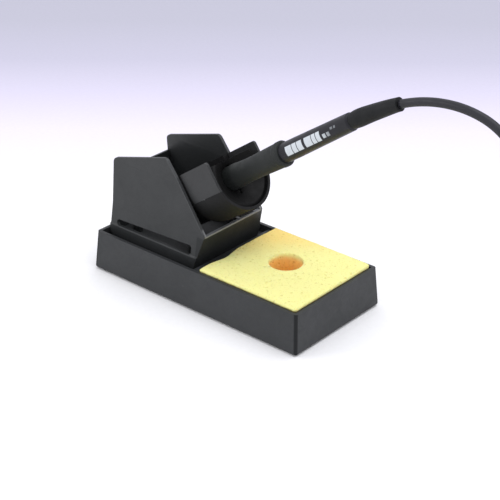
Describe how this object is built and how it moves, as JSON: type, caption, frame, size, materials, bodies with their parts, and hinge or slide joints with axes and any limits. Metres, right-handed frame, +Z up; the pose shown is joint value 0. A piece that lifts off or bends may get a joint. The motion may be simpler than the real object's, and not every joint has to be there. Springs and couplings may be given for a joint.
{
  "type": "soldering iron station",
  "caption": "Soldering iron stand: weighted tray with a yellow cleaning sponge, open holder with tilting receptacle, and a pencil iron resting in it with its coiled cord.",
  "frame": {"origin": "centre of the stand's footprint, on the surface that it stands on", "axes": "+X from the holder towards the sponge, the way the iron's cord leaves; +Z up; -Y the user's side"},
  "size_m": [0.4735, 0.0918, 0.1864],
  "materials": {
    "black_plastic": "fine moulded satin",
    "receptacle_plastic": "satin moulded, heat resistant",
    "insert_plastic": "matt, heat resistant",
    "handle_plastic": "satin",
    "grip_rubber": "soft matt foam rubber",
    "relief_rubber": "matt rubber",
    "cord_jacket": "flexible jacket, slight sheen",
    "foot_rubber": "matt",
    "sponge_cellulose": "open cell, pale yellow",
    "wick_cellulose": "open cell",
    "plated_steel": "zinc plated sheet",
    "screw_steel": "plated",
    "cast_weight": "painted casting",
    "tip_plating": "iron plated copper, darkened by heat",
    "stainless": "turned, satin",
    "ceramic": "glazed ceramic",
    "board": "laminate",
    "wire": "insulated wire",
    "tie_fabric": "hook and loop",
    "plug_metal": "nickel plated",
    "plug_insulator": "moulded",
    "contact_brass": "turned"
  },
  "bodies": {
    "base": {"base_tray": "black_plastic", "bottom_plate": "plated_steel", "ballast_weight": "cast_weight", "plate_screws": "screw_steel", "rubber_feet": "foot_rubber", "holder_body": "black_plastic", "holder_screws": "screw_steel", "adjusting_washers": "plated_steel", "adjusting_screws": "screw_steel", "wick_sponge": "wick_cellulose", "cord_drop": "cord_jacket", "cord_coil": "cord_jacket", "coil_tie": "tie_fabric", "cord_tail": "cord_jacket", "plug_bushing": "relief_rubber", "plug_shell": "plug_metal", "plug_insert": "plug_insulator", "plug_pins": "contact_brass"},
    "receptacle": {"receptacle_trough": "insert_plastic", "receptacle_wings": "receptacle_plastic", "receptacle_insert": "insert_plastic", "insert_screws": "screw_steel"},
    "iron": {"solder_tip": "tip_plating", "tip_enclosure": "stainless", "enclosure_nut": "stainless", "nipple": "stainless", "heater_element": "ceramic", "handle": "handle_plastic", "grip_sleeve": "grip_rubber", "terminal_board": "board", "lead_wires": "wire", "cord_bushing": "relief_rubber", "cord_lead": "cord_jacket"},
    "sponge": {"cleaning_sponge": "sponge_cellulose"}
  },
  "joints": [
    {"name": "receptacle_tilt", "type": "hinge", "parent": "base", "child": "receptacle", "pos_m": [-0.03002, 0, 0.06377], "axis": [0, -1, 0], "range_deg": [-3, 12], "deforming": ["cord_drop"]},
    {"name": "iron_slide", "type": "slide", "parent": "receptacle", "child": "iron", "axis": [0.8181, 0, 0.575], "range_m": [0, 0.09], "deforming": ["cord_lead"]},
    {"name": "sponge_lift", "type": "slide", "parent": "base", "child": "sponge", "axis": [0, 0, 1], "range_m": [0, 0.018]}
  ]
}
